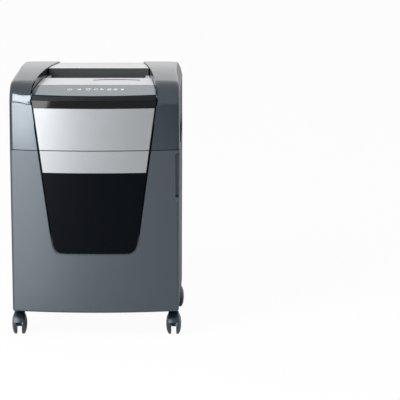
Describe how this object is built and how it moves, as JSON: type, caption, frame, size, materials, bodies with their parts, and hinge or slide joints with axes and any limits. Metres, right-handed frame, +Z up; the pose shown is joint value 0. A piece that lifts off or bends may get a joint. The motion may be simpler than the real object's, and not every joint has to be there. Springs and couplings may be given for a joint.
{
  "type": "paper shredder",
  "caption": "Upright office paper shredder with cutting head, pull-out waste bin with window, side handles and castors.",
  "frame": {"origin": "on the floor under the middle of the part", "axes": "+X to the right seen from the front, -Y to the front, +Z up"},
  "size_m": [0.386, 0.4094, 0.59],
  "materials": {
    "body_grey": "satin blue-grey, lightly grained",
    "panel_grey": "satin light blue-grey",
    "silver": "silver lacquer",
    "gloss_black": "polished black",
    "window_black": "smoked, near black",
    "dark_plastic": "fine grain",
    "vent_black": "fine grain",
    "castor_grey": "satin",
    "castor_tread": "smooth, dusty",
    "sheet_steel": "zinc plated",
    "cutter_steel": "ground and oiled",
    "bearing_brass": "turned",
    "motor_black": "satin black enamel",
    "capacitor_can": "drawn",
    "board_green": "solder mask"
  },
  "bodies": {
    "cabinet": {"base_tray": "dark_plastic", "bin_rail_left": "sheet_steel", "bin_rail_right": "sheet_steel", "capacitor": "capacitor_can", "chassis_plate": "sheet_steel", "control_board": "board_green", "control_panel": "panel_grey", "cutter_frame_left": "sheet_steel", "cutter_frame_right": "sheet_steel", "entry_sensor": "vent_black", "front_bearing_left": "bearing_brass", "front_bearing_right": "bearing_brass", "front_deck_plate": "silver", "front_stripper_comb": "sheet_steel", "front_tie_rod": "sheet_steel", "gloss_band": "gloss_black", "handle_cup_left": "dark_plastic", "handle_cup_right": "dark_plastic", "head_shell": "body_grey", "interlock_switch": "vent_black", "mains_inlet": "vent_black", "motor": "motor_black", "motor_bracket": "sheet_steel", "power_board": "board_green", "rear_bearing_left": "bearing_brass", "rear_bearing_right": "bearing_brass", "rear_deck_plate": "silver", "rear_panel": "body_grey", "rear_stripper_comb": "sheet_steel", "rear_tie_rod": "sheet_steel", "rear_vent_panel": "vent_black", "satin_band": "dark_plastic", "side_panel_left": "body_grey", "side_panel_right": "body_grey", "throat_liner": "dark_plastic", "upper_front_panel": "silver"},
    "bin": {"bin_front": "body_grey", "bin_strip": "silver", "bin_window": "window_black", "bin_tub": "dark_plastic"},
    "rear_drum": {"rear_cutter": "cutter_steel", "rear_sync_gear": "cutter_steel", "drive_gear": "cutter_steel"},
    "front_drum": {"front_cutter": "cutter_steel", "front_sync_gear": "cutter_steel"},
    "motor_rotor": {"motor_pinion": "cutter_steel"},
    "mains_rocker": {"mains_switch": "vent_black"},
    "castor_front_left_swivel": {"castor_front_left_housing": "castor_grey"},
    "castor_front_left_wheelset": {"castor_front_left_wheels": "castor_tread"},
    "castor_front_right_swivel": {"castor_front_right_housing": "castor_grey"},
    "castor_front_right_wheelset": {"castor_front_right_wheels": "castor_tread"},
    "castor_rear_left_swivel": {"castor_rear_left_housing": "castor_grey"},
    "castor_rear_left_wheelset": {"castor_rear_left_wheels": "castor_tread"},
    "castor_rear_right_swivel": {"castor_rear_right_housing": "castor_grey"},
    "castor_rear_right_wheelset": {"castor_rear_right_wheels": "castor_tread"}
  },
  "joints": [
    {"name": "bin_slide", "type": "slide", "parent": "cabinet", "child": "bin", "axis": [0, -1, 0], "range_m": [0, 0.3]},
    {"name": "rear_drum_turn", "type": "hinge", "parent": "cabinet", "child": "rear_drum", "pos_m": [0, 0.029, 0.494], "axis": [1, 0, 0], "continuous": true},
    {"name": "front_drum_turn", "type": "hinge", "parent": "cabinet", "child": "front_drum", "pos_m": [0, -0.009, 0.494], "axis": [1, 0, 0], "continuous": true},
    {"name": "motor_turn", "type": "hinge", "parent": "cabinet", "child": "motor_rotor", "pos_m": [0, 0.089, 0.494], "axis": [1, 0, 0], "continuous": true},
    {"name": "mains_rock", "type": "hinge", "parent": "cabinet", "child": "mains_rocker", "pos_m": [0.137, 0.1935, 0.11], "axis": [1, 0, 0], "range_deg": [-8, 8]},
    {"name": "castor_front_left_swivel_turn", "type": "hinge", "parent": "cabinet", "child": "castor_front_left_swivel", "pos_m": [-0.176, -0.124, 0.06], "axis": [0, 0, 1], "continuous": true},
    {"name": "castor_front_left_wheel_turn", "type": "hinge", "parent": "castor_front_left_swivel", "child": "castor_front_left_wheelset", "pos_m": [-0.176, -0.1365, 0.025], "axis": [1, 0, 0], "continuous": true},
    {"name": "castor_front_right_swivel_turn", "type": "hinge", "parent": "cabinet", "child": "castor_front_right_swivel", "pos_m": [0.176, -0.124, 0.06], "axis": [0, 0, 1], "continuous": true},
    {"name": "castor_front_right_wheel_turn", "type": "hinge", "parent": "castor_front_right_swivel", "child": "castor_front_right_wheelset", "pos_m": [0.176, -0.1365, 0.025], "axis": [1, 0, 0], "continuous": true},
    {"name": "castor_rear_left_swivel_turn", "type": "hinge", "parent": "cabinet", "child": "castor_rear_left_swivel", "pos_m": [-0.176, 0.181, 0.06], "axis": [0, 0, 1], "continuous": true},
    {"name": "castor_rear_left_wheel_turn", "type": "hinge", "parent": "castor_rear_left_swivel", "child": "castor_rear_left_wheelset", "pos_m": [-0.176, 0.1685, 0.025], "axis": [1, 0, 0], "continuous": true},
    {"name": "castor_rear_right_swivel_turn", "type": "hinge", "parent": "cabinet", "child": "castor_rear_right_swivel", "pos_m": [0.176, 0.181, 0.06], "axis": [0, 0, 1], "continuous": true},
    {"name": "castor_rear_right_wheel_turn", "type": "hinge", "parent": "castor_rear_right_swivel", "child": "castor_rear_right_wheelset", "pos_m": [0.176, 0.1685, 0.025], "axis": [1, 0, 0], "continuous": true}
  ],
  "couplings": [
    {"joint": "front_drum_turn", "follows": "rear_drum_turn", "ratio": -1},
    {"joint": "motor_turn", "follows": "rear_drum_turn", "ratio": -3}
  ]
}
